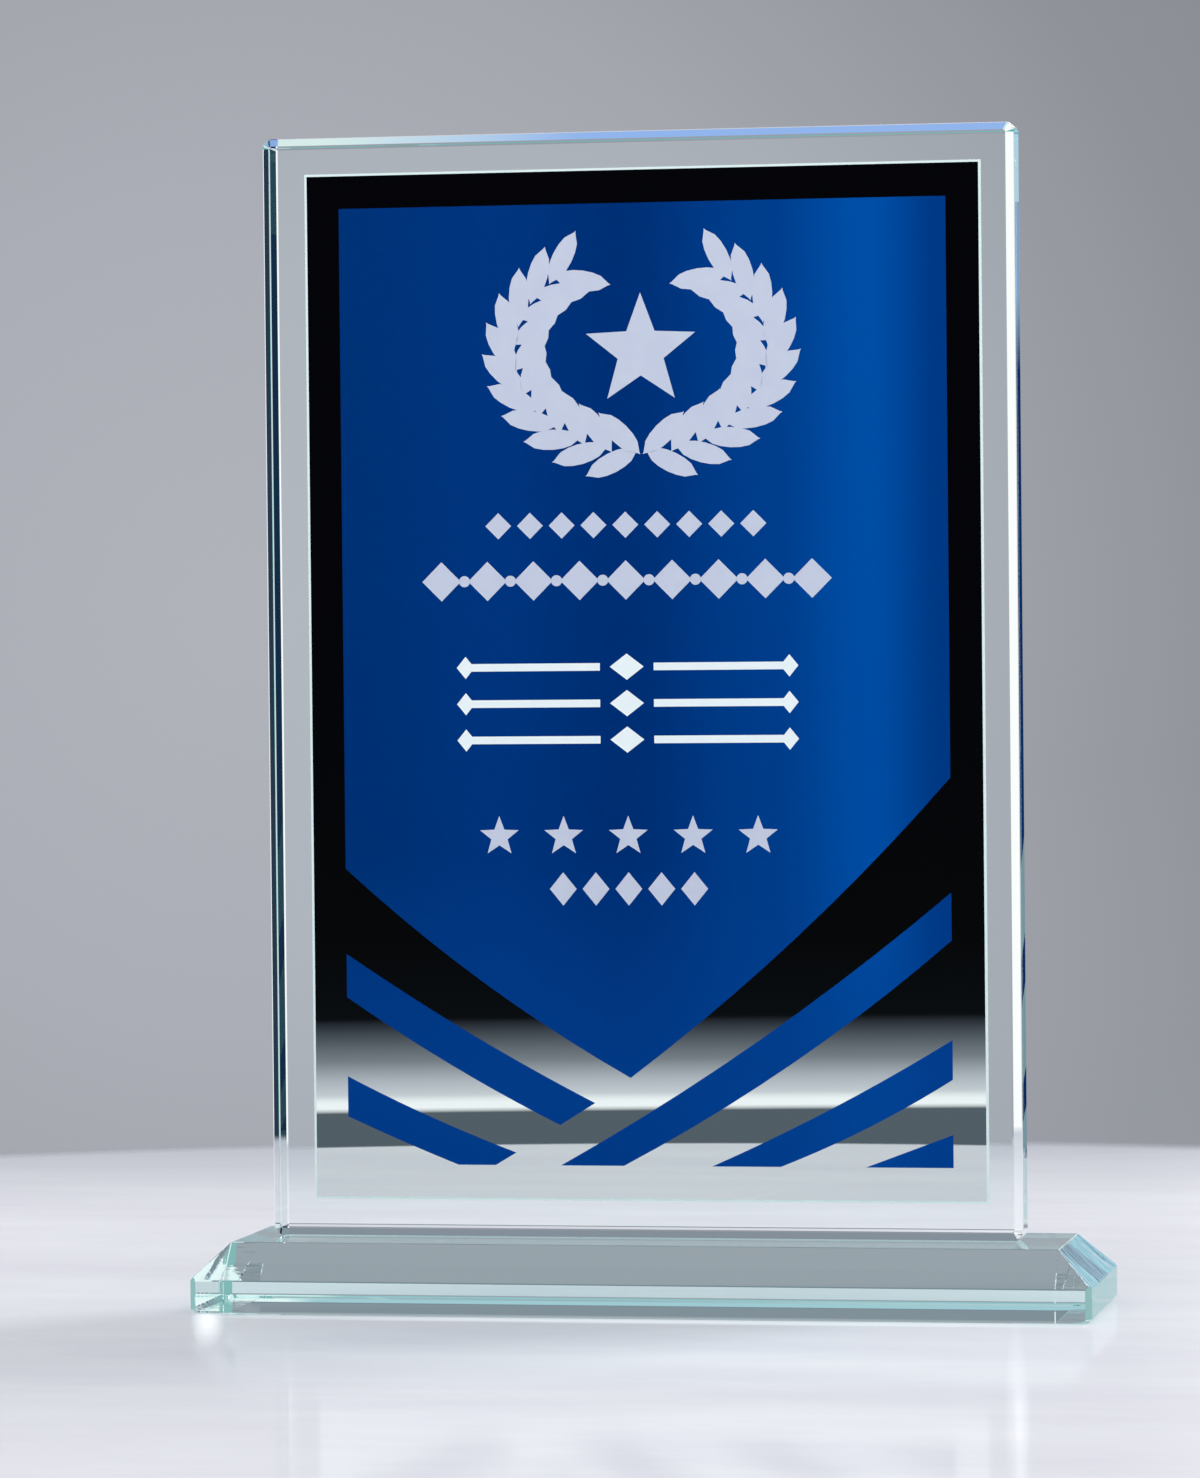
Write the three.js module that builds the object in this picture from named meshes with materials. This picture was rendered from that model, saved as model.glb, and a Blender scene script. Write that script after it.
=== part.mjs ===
// A clear glass award: an upright plate with ground and polished edges, bonded on end to a
// bevelled base block, with a mirror and a blue print on the plate's back face.
// Millimetres, +Z up, +X to the reader's right, the reader in front at -Y.
// The origin is the middle of the base's underside, on the surface that it stands on.

import * as THREE from 'three';

// Base block
const BASE_LENGTH = 178;
const BASE_DEPTH = 46;
const BASE_HEIGHT = 13.6;
const BASE_BEVEL = 7;
const BASE_FOOT_ARRIS = 0.8;
const BASE_CORNER_CUT = 1.2;
const BASE_MITRE_ARRIS = 0.15;

// Upright plate, which stands a little off the middle of the base, as it was bonded
const PLATE_WIDTH = 150;
const PLATE_HEIGHT = 217.7;
const PLATE_THICKNESS = 10;
const PLATE_CHAMFER = 1.7;
const PLATE_CORNER_CUT = 1.2;
const PLATE_MITRE_CUT = 0.25;
const PLATE_OFFSET_X = -1.4;

// Clear adhesive between the plate's foot and the base, drawn back from the foot's ends
const BOND_THICKNESS = 0.2;
const BOND_END_GAP = 0.6;

// Mirror on the back of the plate, and the pale backing sheet that shows as a line round it
const MIRROR_SIDE_MARGIN = 7.75;
const MIRROR_END_MARGIN = 7.3;
const MIRROR_THICKNESS = 0.2;
const BACKING_RIM = 0.45;
const BACKING_THICKNESS = 0.3;

// Print between the glass and the mirror, inside a margin of bare mirror
const PRINT_MARGIN = 6.5;
const INK_THICKNESS = 0.2;

// Panel: a rectangle with a pointed foot. Heights count up from the print's lower edge, places
// across it from the plate's middle. A bow is how far a long edge bulges at its middle.
const PANEL_LEFT_SHOULDER = 58.9;
const PANEL_RIGHT_SHOULDER = 76.5;
const PANEL_TIP_X = -3.4;
const PANEL_TIP_HEIGHT = 17.4;
const PANEL_LEFT_BOW = 2;
const PANEL_RIGHT_BOW = 2.2;

// Upper stripe on the left, which ends in a square cut short of the print's lower edge
const LEFT_UPPER_TOP = 41.9;
const LEFT_UPPER_WIDTH = 8.6;
const LEFT_UPPER_END_X = -10.6;
const LEFT_UPPER_END_HEIGHT = 12.4;
const LEFT_UPPER_CUT_X = 7.1;
const LEFT_UPPER_CUT_DROP = 4.4;
const LEFT_UPPER_BOW = 0.9;

// Lower stripe on the left, cut square and then by the print's lower edge
const LEFT_LOWER_TOP = 17.5;
const LEFT_LOWER_WIDTH = 8;
const LEFT_LOWER_END_X = -26.6;
const LEFT_LOWER_END_HEIGHT = 2.5;
const LEFT_LOWER_CUT_X = 4.2;
const LEFT_LOWER_FOOT_WIDTH = 7.5;
const LEFT_LOWER_TOP_BOW = 0.55;
const LEFT_LOWER_FOOT_BOW = 0.17;

// Stripes on the right, which all run down to the print's lower edge, the lowest one as a
// corner triangle. Each has its top and width at the side, its foot's two ends and its bow.
const RIGHT_LONG = { top: 54, width: 9.4, footFrom: -17.6, footTo: -4.9, bow: 2.2 };
const RIGHT_MIDDLE = { top: 25.1, width: 7.8, footFrom: 12.8, footTo: 26.5, bow: 0.9 };
const RIGHT_CORNER_TOP = 6.5;
const RIGHT_CORNER_FOOT = 43.4;

// Facets along each bowed edge
const BOW_STEPS = 10;

// Places that follow from the sizes
const PLATE_FOOT_Z = BASE_HEIGHT + BOND_THICKNESS;
const PLATE_BACK_Y = PLATE_THICKNESS / 2;
const MIRROR_FRONT_Y = PLATE_BACK_Y + INK_THICKNESS;
const BACKING_FRONT_Y = MIRROR_FRONT_Y + MIRROR_THICKNESS;
const MIRROR_HALF_WIDTH = PLATE_WIDTH / 2 - MIRROR_SIDE_MARGIN;
const MIRROR_BOTTOM = MIRROR_END_MARGIN;
const MIRROR_TOP = PLATE_HEIGHT - MIRROR_END_MARGIN;
const PRINT_RIGHT = MIRROR_HALF_WIDTH - PRINT_MARGIN;
const PRINT_LEFT = -PRINT_RIGHT;
const PRINT_BOTTOM = MIRROR_BOTTOM + PRINT_MARGIN;
const PRINT_TOP = MIRROR_TOP - PRINT_MARGIN;

// Finishes
const clearGlass = new THREE.MeshStandardMaterial({ color: 0xd4e6e4, roughness: 0.02, metalness: 0 });
const baseGlass = new THREE.MeshStandardMaterial({ color: 0xb9d8d6, roughness: 0.02, metalness: 0 });
const clearAdhesive = new THREE.MeshStandardMaterial({ color: 0xe6ecee, roughness: 0.1, metalness: 0 });
const mirrorSilver = new THREE.MeshStandardMaterial({ color: 0xd9dcdf, roughness: 0.03, metalness: 1 });
const backingWhite = new THREE.MeshStandardMaterial({ color: 0xe9ebee, roughness: 0.6, metalness: 0 });
const blueInk = new THREE.MeshStandardMaterial({ color: 0x04428c, roughness: 0.35, metalness: 0 });

// One ring of eight points: a rectangle whose corners are cut at 45 degrees. Counterclockwise.
function cutRectangle(halfWidth, halfHeight, cut) {
  const w = halfWidth;
  const h = halfHeight;
  return [
    [w, -h + cut], [w, h - cut], [w - cut, h], [-w + cut, h],
    [-w, h - cut], [-w, -h + cut], [-w + cut, -h], [w - cut, -h],
  ];
}

// A closed block through a stack of rings along +Z, each with its level and its own outline.
function ringedBlock(rings) {
  const positions = [];
  const indices = [];
  const sides = rings[0].outline.length;
  for (const ring of rings) {
    for (const [x, y] of ring.outline) {
      positions.push(x, y, ring.level);
    }
  }
  for (let level = 0; level < rings.length - 1; level += 1) {
    for (let side = 0; side < sides; side += 1) {
      const next = (side + 1) % sides;
      const low = level * sides;
      const high = low + sides;
      indices.push(low + side, low + next, high + next);
      indices.push(low + side, high + next, high + side);
    }
  }
  const last = (rings.length - 1) * sides;
  for (let side = 1; side < sides - 1; side += 1) {
    indices.push(0, side + 1, side);
    indices.push(last, last + side, last + side + 1);
  }
  const geometry = new THREE.BufferGeometry();
  geometry.setAttribute('position', new THREE.Float32BufferAttribute(positions, 3));
  geometry.setIndex(indices);
  geometry.computeVertexNormals();
  return geometry;
}

// The base: a low arris at the foot, an upright band, and a 45 degree bevel up to the top face.
// The upright corner cuts run on into the bevel until they close on its mitres.
function baseGeometry() {
  const halfLength = BASE_LENGTH / 2;
  const halfDepth = BASE_DEPTH / 2;
  const bandTop = BASE_HEIGHT - BASE_BEVEL;
  const cutRise = (BASE_CORNER_CUT - BASE_MITRE_ARRIS) / 2;
  const foot = cutRectangle(halfLength - BASE_FOOT_ARRIS, halfDepth - BASE_FOOT_ARRIS, BASE_CORNER_CUT);
  const band = cutRectangle(halfLength, halfDepth, BASE_CORNER_CUT);
  const closed = cutRectangle(halfLength - cutRise, halfDepth - cutRise, BASE_MITRE_ARRIS);
  const top = cutRectangle(halfLength - BASE_BEVEL, halfDepth - BASE_BEVEL, BASE_MITRE_ARRIS);
  return ringedBlock([
    { level: 0, outline: foot },
    { level: BASE_FOOT_ARRIS, outline: band },
    { level: bandTop, outline: band },
    { level: bandTop + cutRise, outline: closed },
    { level: BASE_HEIGHT, outline: top },
  ]);
}

// The plate: its rings lie one behind another through its thickness, so the chamfers run all
// round both faces. It is modelled lying on its front face and stood up on its lower edge.
function plateGeometry() {
  const halfWidth = PLATE_WIDTH / 2;
  const halfHeight = PLATE_HEIGHT / 2;
  const face = cutRectangle(halfWidth - PLATE_CHAMFER, halfHeight - PLATE_CHAMFER, PLATE_MITRE_CUT);
  const edge = cutRectangle(halfWidth, halfHeight, PLATE_CORNER_CUT);
  const geometry = ringedBlock([
    { level: 0, outline: face },
    { level: PLATE_CHAMFER, outline: edge },
    { level: PLATE_THICKNESS - PLATE_CHAMFER, outline: edge },
    { level: PLATE_THICKNESS, outline: face },
  ]);
  geometry.translate(0, halfHeight, -PLATE_THICKNESS / 2);
  return geometry;
}

// A rectangle drawn on the plate's back face.
function rectangle(left, right, bottom, top) {
  const shape = new THREE.Shape();
  shape.moveTo(left, bottom);
  shape.lineTo(right, bottom);
  shape.lineTo(right, top);
  shape.lineTo(left, top);
  shape.closePath();
  return shape;
}

// Carries an outline on to (x, y) along a shallow curve that bulges to its right by bow.
function bowTo(shape, x, y, bow) {
  const from = shape.currentPoint;
  const length = Math.hypot(x - from.x, y - from.y);
  const alongX = (x - from.x) / length;
  const alongY = (y - from.y) / length;
  const controlX = (from.x + x) / 2 + 2 * bow * alongY;
  const controlY = (from.y + y) / 2 - 2 * bow * alongX;
  shape.quadraticCurveTo(controlX, controlY, x, y);
}

// Panel, from its upper left corner round by the left shoulder, the tip and the right shoulder
function panelShape() {
  const shape = new THREE.Shape();
  shape.moveTo(PRINT_LEFT, PRINT_TOP);
  shape.lineTo(PRINT_LEFT, PRINT_BOTTOM + PANEL_LEFT_SHOULDER);
  bowTo(shape, PANEL_TIP_X, PRINT_BOTTOM + PANEL_TIP_HEIGHT, PANEL_LEFT_BOW);
  bowTo(shape, PRINT_RIGHT, PRINT_BOTTOM + PANEL_RIGHT_SHOULDER, PANEL_RIGHT_BOW);
  shape.lineTo(PRINT_RIGHT, PRINT_TOP);
  shape.closePath();
  return shape;
}

function leftUpperStripe() {
  const sideTop = PRINT_BOTTOM + LEFT_UPPER_TOP;
  const endHeight = PRINT_BOTTOM + LEFT_UPPER_END_HEIGHT;
  const shape = new THREE.Shape();
  shape.moveTo(PRINT_LEFT, sideTop);
  shape.lineTo(PRINT_LEFT, sideTop - LEFT_UPPER_WIDTH);
  bowTo(shape, LEFT_UPPER_END_X - LEFT_UPPER_CUT_X, endHeight - LEFT_UPPER_CUT_DROP, LEFT_UPPER_BOW);
  shape.lineTo(LEFT_UPPER_END_X, endHeight);
  bowTo(shape, PRINT_LEFT, sideTop, -LEFT_UPPER_BOW);
  return shape;
}

function leftLowerStripe() {
  const sideTop = PRINT_BOTTOM + LEFT_LOWER_TOP;
  const footRight = LEFT_LOWER_END_X - LEFT_LOWER_CUT_X;
  const shape = new THREE.Shape();
  shape.moveTo(PRINT_LEFT, sideTop);
  shape.lineTo(PRINT_LEFT, sideTop - LEFT_LOWER_WIDTH);
  bowTo(shape, footRight - LEFT_LOWER_FOOT_WIDTH, PRINT_BOTTOM, LEFT_LOWER_FOOT_BOW);
  shape.lineTo(footRight, PRINT_BOTTOM);
  shape.lineTo(LEFT_LOWER_END_X, PRINT_BOTTOM + LEFT_LOWER_END_HEIGHT);
  bowTo(shape, PRINT_LEFT, sideTop, -LEFT_LOWER_TOP_BOW);
  return shape;
}

// A stripe from the right side down to the print's lower edge
function rightStripe({ top, width, footFrom, footTo, bow }) {
  const sideTop = PRINT_BOTTOM + top;
  const shape = new THREE.Shape();
  shape.moveTo(footFrom, PRINT_BOTTOM);
  shape.lineTo(footTo, PRINT_BOTTOM);
  bowTo(shape, PRINT_RIGHT, sideTop - width, bow);
  shape.lineTo(PRINT_RIGHT, sideTop);
  bowTo(shape, footFrom, PRINT_BOTTOM, -bow);
  return shape;
}

function rightCornerShape() {
  const shape = new THREE.Shape();
  shape.moveTo(RIGHT_CORNER_FOOT, PRINT_BOTTOM);
  shape.lineTo(PRINT_RIGHT, PRINT_BOTTOM);
  shape.lineTo(PRINT_RIGHT, PRINT_BOTTOM + RIGHT_CORNER_TOP);
  shape.closePath();
  return shape;
}

const award = new THREE.Group();

const base = new THREE.Mesh(baseGeometry(), baseGlass);
base.name = 'base_block';
award.add(base);

const bondHalfWidth = PLATE_WIDTH / 2 - PLATE_CORNER_CUT - BOND_END_GAP;
const bondDepth = PLATE_THICKNESS - 2 * PLATE_CHAMFER;
const bond = new THREE.Mesh(
  new THREE.BoxGeometry(2 * bondHalfWidth, bondDepth, BOND_THICKNESS),
  clearAdhesive,
);
bond.name = 'bond_film';
bond.position.set(PLATE_OFFSET_X, 0, BASE_HEIGHT + BOND_THICKNESS / 2);
award.add(bond);

// All that the upright carries is drawn in the plate's own plane, x across and y up from its
// foot, with +z towards the reader. The group stands that plane up.
const upright = new THREE.Group();
upright.position.set(PLATE_OFFSET_X, 0, PLATE_FOOT_Z);
upright.rotation.x = Math.PI / 2;
award.add(upright);

const plate = new THREE.Mesh(plateGeometry(), clearGlass);
plate.name = 'upright_plate';
upright.add(plate);

// One flat layer behind the plate, its front face at frontY
function addLayer(name, shape, frontY, thickness, material) {
  const geometry = new THREE.ExtrudeGeometry(shape, {
    depth: thickness,
    bevelEnabled: false,
    curveSegments: BOW_STEPS,
  });
  const layer = new THREE.Mesh(geometry, material);
  layer.name = name;
  layer.position.z = -frontY - thickness;
  upright.add(layer);
}

const inkLayers = {
  print_panel: panelShape(),
  print_stripe_left_upper: leftUpperStripe(),
  print_stripe_left_lower: leftLowerStripe(),
  print_stripe_right_long: rightStripe(RIGHT_LONG),
  print_stripe_right_middle: rightStripe(RIGHT_MIDDLE),
  print_stripe_right_corner: rightCornerShape(),
};
for (const [name, shape] of Object.entries(inkLayers)) {
  addLayer(name, shape, PLATE_BACK_Y, INK_THICKNESS, blueInk);
}

const mirrorShape = rectangle(-MIRROR_HALF_WIDTH, MIRROR_HALF_WIDTH, MIRROR_BOTTOM, MIRROR_TOP);
addLayer('mirror_film', mirrorShape, MIRROR_FRONT_Y, MIRROR_THICKNESS, mirrorSilver);

const backingShape = rectangle(
  -MIRROR_HALF_WIDTH - BACKING_RIM,
  MIRROR_HALF_WIDTH + BACKING_RIM,
  MIRROR_BOTTOM - BACKING_RIM,
  MIRROR_TOP + BACKING_RIM,
);
addLayer('backing_sheet', backingShape, BACKING_FRONT_Y, BACKING_THICKNESS, backingWhite);

export default award;
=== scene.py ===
# %% [markdown]
# # A glass award on a pale table
# An upright plate of clear float glass stands on a low bevelled base. Behind the plate lie a
# mirror and a blue print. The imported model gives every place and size, so it is loaded first,
# as a fixed frame in metres with +Z up, and everything here is fitted to it.

# %% Load the frame
import math
import bpy
from mathutils import Matrix, Vector


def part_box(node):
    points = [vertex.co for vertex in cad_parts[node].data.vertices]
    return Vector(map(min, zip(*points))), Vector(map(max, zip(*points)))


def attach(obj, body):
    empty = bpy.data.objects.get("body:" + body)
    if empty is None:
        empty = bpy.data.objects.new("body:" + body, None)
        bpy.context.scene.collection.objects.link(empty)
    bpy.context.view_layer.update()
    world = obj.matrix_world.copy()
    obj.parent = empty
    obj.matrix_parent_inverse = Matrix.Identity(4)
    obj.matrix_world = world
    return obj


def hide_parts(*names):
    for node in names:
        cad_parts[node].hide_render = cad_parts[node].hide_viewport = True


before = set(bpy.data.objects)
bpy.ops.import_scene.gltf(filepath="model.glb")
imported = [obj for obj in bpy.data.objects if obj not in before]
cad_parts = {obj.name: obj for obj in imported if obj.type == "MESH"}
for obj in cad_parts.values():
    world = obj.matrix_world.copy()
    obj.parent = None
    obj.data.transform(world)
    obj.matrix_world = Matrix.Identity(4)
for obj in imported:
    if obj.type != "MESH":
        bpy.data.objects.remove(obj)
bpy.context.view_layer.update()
print("nodes:", sorted(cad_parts))

# %% [markdown]
# Sizes are written in millimetres, as a maker writes them, and turned to metres once. The
# places of the plate, the base, the adhesive and the print are read from the frame, so that
# what is fitted to them follows if the part is changed. The print starts where the plate ends,
# so its front gives the plate's back face.

# %% Units and places
MM = 0.001

plate_low, plate_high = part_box("upright_plate")
base_low, base_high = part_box("base_block")
bond_low, bond_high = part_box("bond_film")
plate_middle_x = (plate_low.x + plate_high.x) / 2
plate_back_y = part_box("print_panel")[0].y
plate_foot_z = plate_low.z
print("plate", [round(v / MM, 2) for v in plate_high - plate_low], "mm")
print("plate's back face at", round(plate_back_y / MM, 2), "mm")

# %% [markdown]
# ## The camera
# The photograph was taken with a long lens from a little to the right, almost level with the
# middle of the plate. The place and angles come from matching the plate's and the base's edges.
# The photograph is upright, so Blender's 36 mm sensor lies along its height.

# %% Camera
PHOTO_HEIGHT = 1478
SENSOR = 36.0
FOCAL_IN_PIXELS = 6344.1
CAMERA_PLACE = Vector((226.68, -1229.08, 138.10)) * MM
CAMERA_TURN = math.radians(10.901)
CAMERA_TIP = math.radians(1.191)
CAMERA_ROLL = math.radians(-0.568)

camera_data = bpy.data.cameras.new("photo_camera")
camera_data.sensor_width = SENSOR
camera_data.lens = FOCAL_IN_PIXELS * SENSOR / PHOTO_HEIGHT
camera = bpy.data.objects.new("photo_camera", camera_data)
bpy.context.scene.collection.objects.link(camera)
camera.matrix_world = (
    Matrix.Translation(CAMERA_PLACE)
    @ Matrix.Rotation(CAMERA_TURN, 4, "Z")
    @ Matrix.Rotation(math.pi / 2 - CAMERA_TIP, 4, "X")
    @ Matrix.Rotation(CAMERA_ROLL, 4, "Z")
)
bpy.context.scene.camera = camera
print("lens", round(camera_data.lens, 1), "mm")

# %% [markdown]
# ## Materials
# Colours are written as the hex values that a colour picker gives, and Blender works in linear
# light, so one function turns them. Where tones change with a place or a direction, they are
# listed by that place, and a second function spreads them over a colour ramp. A third adds a
# node, sets its options, colour stops and values, and links whatever is given as a node or a
# socket. A pattern's scale is one over the width that it has on the real thing.

# %% Colour and node helpers
def linear(hex_colour, alpha=1.0):
    """A colour as a picker gives it, in linear light."""
    values = [int(hex_colour[i:i + 2], 16) / 255 for i in (1, 3, 5)]
    return (*[v / 12.92 if v <= 0.04045 else ((v + 0.055) / 1.055) ** 2.4 for v in values], alpha)


def spread(tones):
    """Colour stops from 0 to 1 for tones listed as place and colour, with or without an alpha."""
    first, last = tones[0][0], tones[-1][0]
    return [((place - first) / (last - first), linear(*tone)) for place, *tone in tones]


def node(tree, kind, inputs=None, stops=(), **options):
    """Adds a node with its options, colour stops, values and links."""
    made = tree.nodes.new(kind)
    for name, value in options.items():
        setattr(made, name, value)
    for place, _ in stops[2:]:
        made.color_ramp.elements.new(place)
    for i, (place, colour) in enumerate(stops):
        made.color_ramp.elements[i].position = place
        made.color_ramp.elements[i].color = colour
    for name, value in (inputs or {}).items():
        if isinstance(value, bpy.types.Node):
            value = next(output for output in value.outputs if output.enabled)
        if isinstance(value, bpy.types.NodeSocket):
            tree.links.new(value, made.inputs[name])
        else:
            made.inputs[name].default_value = value
    return made


def new_material(name):
    """An empty material and its node tree."""
    material = bpy.data.materials.new(name)
    material.use_nodes = True
    material.node_tree.nodes.clear()
    return material, material.node_tree


# %% [markdown]
# ### Float glass
# The plate and the base are float glass, with edges that were ground and then polished. A face
# that came flat from the melt keeps a faint waviness, here a wave about every 17 mm, which makes
# what is mirrored in it a little uneven. The end bevels of the base were finished by hand, and
# keep ripples about 2.4 mm apart, five times as long, that run down the slope. Real geometry
# would need a very fine mesh for this, so both are bumps in the surface.

# %% Waves and ripples
WAVE_WIDTH = 16.667 * MM
RIPPLE_WIDTH = 2.381 * MM
RIPPLE_STRETCH = 0.2
BASE_BEVEL = 7.0 * MM
END_BEVEL = base_high.x - BASE_BEVEL
END_BLEND = 0.1 * MM


def polished_surface(tree, place, wave_height, ripple_height):
    """The waves of the glass and, where a ripple height is given, the base's end ripples."""
    waves = node(tree, "ShaderNodeTexNoise", {
        "Vector": place, "Scale": 1 / WAVE_WIDTH, "Detail": 1.0,
    })
    surface = node(tree, "ShaderNodeBump", {"Height": waves, "Distance": wave_height})
    if not ripple_height:
        return surface
    drawn = node(tree, "ShaderNodeMapping", {
        "Vector": place, "Scale": (RIPPLE_STRETCH, 1.0, RIPPLE_STRETCH),
    })
    ripples = node(tree, "ShaderNodeTexNoise", {
        "Vector": drawn, "Scale": 1 / RIPPLE_WIDTH, "Detail": 2,
    })
    parts = node(tree, "ShaderNodeSeparateXYZ", {"Vector": place})
    outward = node(tree, "ShaderNodeMath", {0: parts.outputs["X"]}, operation="ABSOLUTE")
    at_end = node(tree, "ShaderNodeMapRange", {
        "Value": outward, "From Min": END_BEVEL - END_BLEND, "From Max": END_BEVEL + END_BLEND,
    })
    ridges = node(tree, "ShaderNodeMath", {0: ripples, 1: at_end}, operation="MULTIPLY")
    return node(tree, "ShaderNodeBump", {
        "Height": ridges, "Distance": ripple_height, "Normal": surface,
    })


print("end ripples start", round(END_BEVEL / MM, 1), "mm from the middle")

# %% [markdown]
# The adhesive bends light as glass does, so inside the glued joint the glass has no surface to
# show, and light goes straight through there. The joint is a box round the film of adhesive. For
# the plate it also takes in the wedge under its rear chamfer, which the adhesive fills.

# %% Inside the joint
JOINT_REACH = Vector((0, 0, 0.05)) * MM
GLUED_WEDGE = Vector((0, 1.9, 1.7)) * MM


def in_joint(tree, place, low, high):
    """1 inside the glued joint, and 0 elsewhere."""
    middle = (low + high) / 2
    half = (high - low) / 2
    from_middle = node(tree, "ShaderNodeVectorMath", {
        0: place, 1: tuple(middle),
    }, operation="SUBTRACT")
    apart = node(tree, "ShaderNodeVectorMath", {0: from_middle}, operation="ABSOLUTE")
    beyond = node(tree, "ShaderNodeVectorMath", {0: apart, 1: tuple(half)}, operation="SUBTRACT")
    past = node(tree, "ShaderNodeSeparateXYZ", {"Vector": beyond}).outputs
    furthest = node(tree, "ShaderNodeMath", {0: past["X"], 1: past["Y"]}, operation="MAXIMUM")
    furthest = node(tree, "ShaderNodeMath", {0: furthest, 1: past["Z"]}, operation="MAXIMUM")
    return node(tree, "ShaderNodeMath", {0: furthest, 1: 0.0}, operation="LESS_THAN")


print("joint", [round(v / MM, 2) for v in bond_high - bond_low], "mm")

# %% [markdown]
# Light is bent as it enters the glass and mirrored at slanting faces. The few percent that the
# outer face mirrors straight on are left out, as a polarising filter leaves them out, so that
# they put no grey veil over the print.

# %% Clear skin
GLASS_IOR = 1.52
FILTERED = 0.05


def clear_skin(tree, place, surface, joint_low, joint_high):
    """Bends and mirrors light, and inside the joint lets it straight through."""
    fresnel = node(tree, "ShaderNodeFresnel", {"IOR": GLASS_IOR, "Normal": surface})
    mirrored = node(tree, "ShaderNodeMapRange", {"Value": fresnel, "From Min": FILTERED})
    bent = node(tree, "ShaderNodeBsdfRefraction", {
        "Color": linear("#FFFFFF"), "Roughness": 0.0, "IOR": GLASS_IOR, "Normal": surface,
    })
    gloss = node(tree, "ShaderNodeBsdfGlossy", {
        "Color": linear("#FFFFFF"), "Roughness": 0.0, "Normal": surface,
    })
    polished = node(tree, "ShaderNodeMixShader", {0: mirrored, 1: bent, 2: gloss})
    straight_on = node(tree, "ShaderNodeBsdfTransparent", {"Color": linear("#FFFFFF")})
    return node(tree, "ShaderNodeMixShader", {
        0: in_joint(tree, place, joint_low, joint_high), 1: polished, 2: straight_on,
    })


print("glass bends light by", GLASS_IOR)

# %% [markdown]
# Much light is caught inside the base and mirrored from face to face before it comes out. To follow
# it to its end would take very many samples, and to drop it would leave black specks. So after
# three mirrorings a steady glow of pale teal is painted in its place, which grows nearly white
# towards the left end, as the photograph shows it. The four upright corners of the base are taken
# as ground and not polished, and on each a glow of a teal of its own is painted in place of the
# glass. These tones were chosen.

# %% Light held in the glass
# Painted glow: colours that stand for light held in the glass and on its ground corners.
HELD_TEAL = "#B4CFD9"
HELD_AT_LEFT = "#FBFDFD"
LEFT_FROM = -72 * MM
LEFT_TO = -78 * MM
CORNER_GLOW = "#8FBBBB"
BASE_CORNER_CUT = 1.2 * MM
CORNER_MARGIN = 0.08 * MM
CORNER_REACH = base_high.x + base_high.y - BASE_CORNER_CUT - CORNER_MARGIN


def in_corner(tree, place):
    """1 on the upright corners of the base, where a teal glow is painted, and 0 elsewhere."""
    apart = node(tree, "ShaderNodeVectorMath", {0: place}, operation="ABSOLUTE")
    away = node(tree, "ShaderNodeVectorMath", {0: apart, 1: (1, 1, 0)}, operation="DOT_PRODUCT")
    return node(tree, "ShaderNodeMath", {
        0: away.outputs["Value"], 1: CORNER_REACH,
    }, operation="GREATER_THAN")


def held_light(tree, place):
    """The colour of the painted glow that stands for the light the glass holds, by its place."""
    across = node(tree, "ShaderNodeSeparateXYZ", {"Vector": place}).outputs["X"]
    to_left = node(tree, "ShaderNodeMapRange", {
        "Value": across, "From Min": LEFT_FROM, "From Max": LEFT_TO,
    })
    colour = node(tree, "ShaderNodeMix", {
        "Factor": to_left, "A": linear(HELD_TEAL), "B": linear(HELD_AT_LEFT),
    }, data_type="RGBA")
    return node(tree, "ShaderNodeMix", {
        "Factor": in_corner(tree, place), "A": colour, "B": linear(CORNER_GLOW),
    }, data_type="RGBA")


print("ground corners start where X + Y is", round(CORNER_REACH / MM, 2), "mm")

# %% [markdown]
# The iron in the glass takes red light first, so it looks clear through its 10 mm, and a long
# path through it turns teal. A tint on the surface would colour thin and thick parts alike, so
# it is absorption in the body of the glass, at so much per metre. Lamps, and light that a dull
# surface sends back, go through clear glass, so for those rays the skin is nearly transparent.
# A renderer counts how often a ray was mirrored in whole numbers, so a half parts two counts.

# %% Plate and base glass
ABSORPTION = (5.0, 0.9, 1.2)
LET_THROUGH = "#EEF6F5"
HALF_A_COUNT = 0.5
ONCE_OR_MORE = 1 - HALF_A_COUNT
TWICE_OR_MORE = 2 - HALF_A_COUNT
THREE_TIMES_OR_MORE = 3 - HALF_A_COUNT
PLATE_WAVES = 0.0003 * MM
BASE_WAVES = 0.0005 * MM
BASE_RIPPLES = 0.1 * MM


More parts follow.
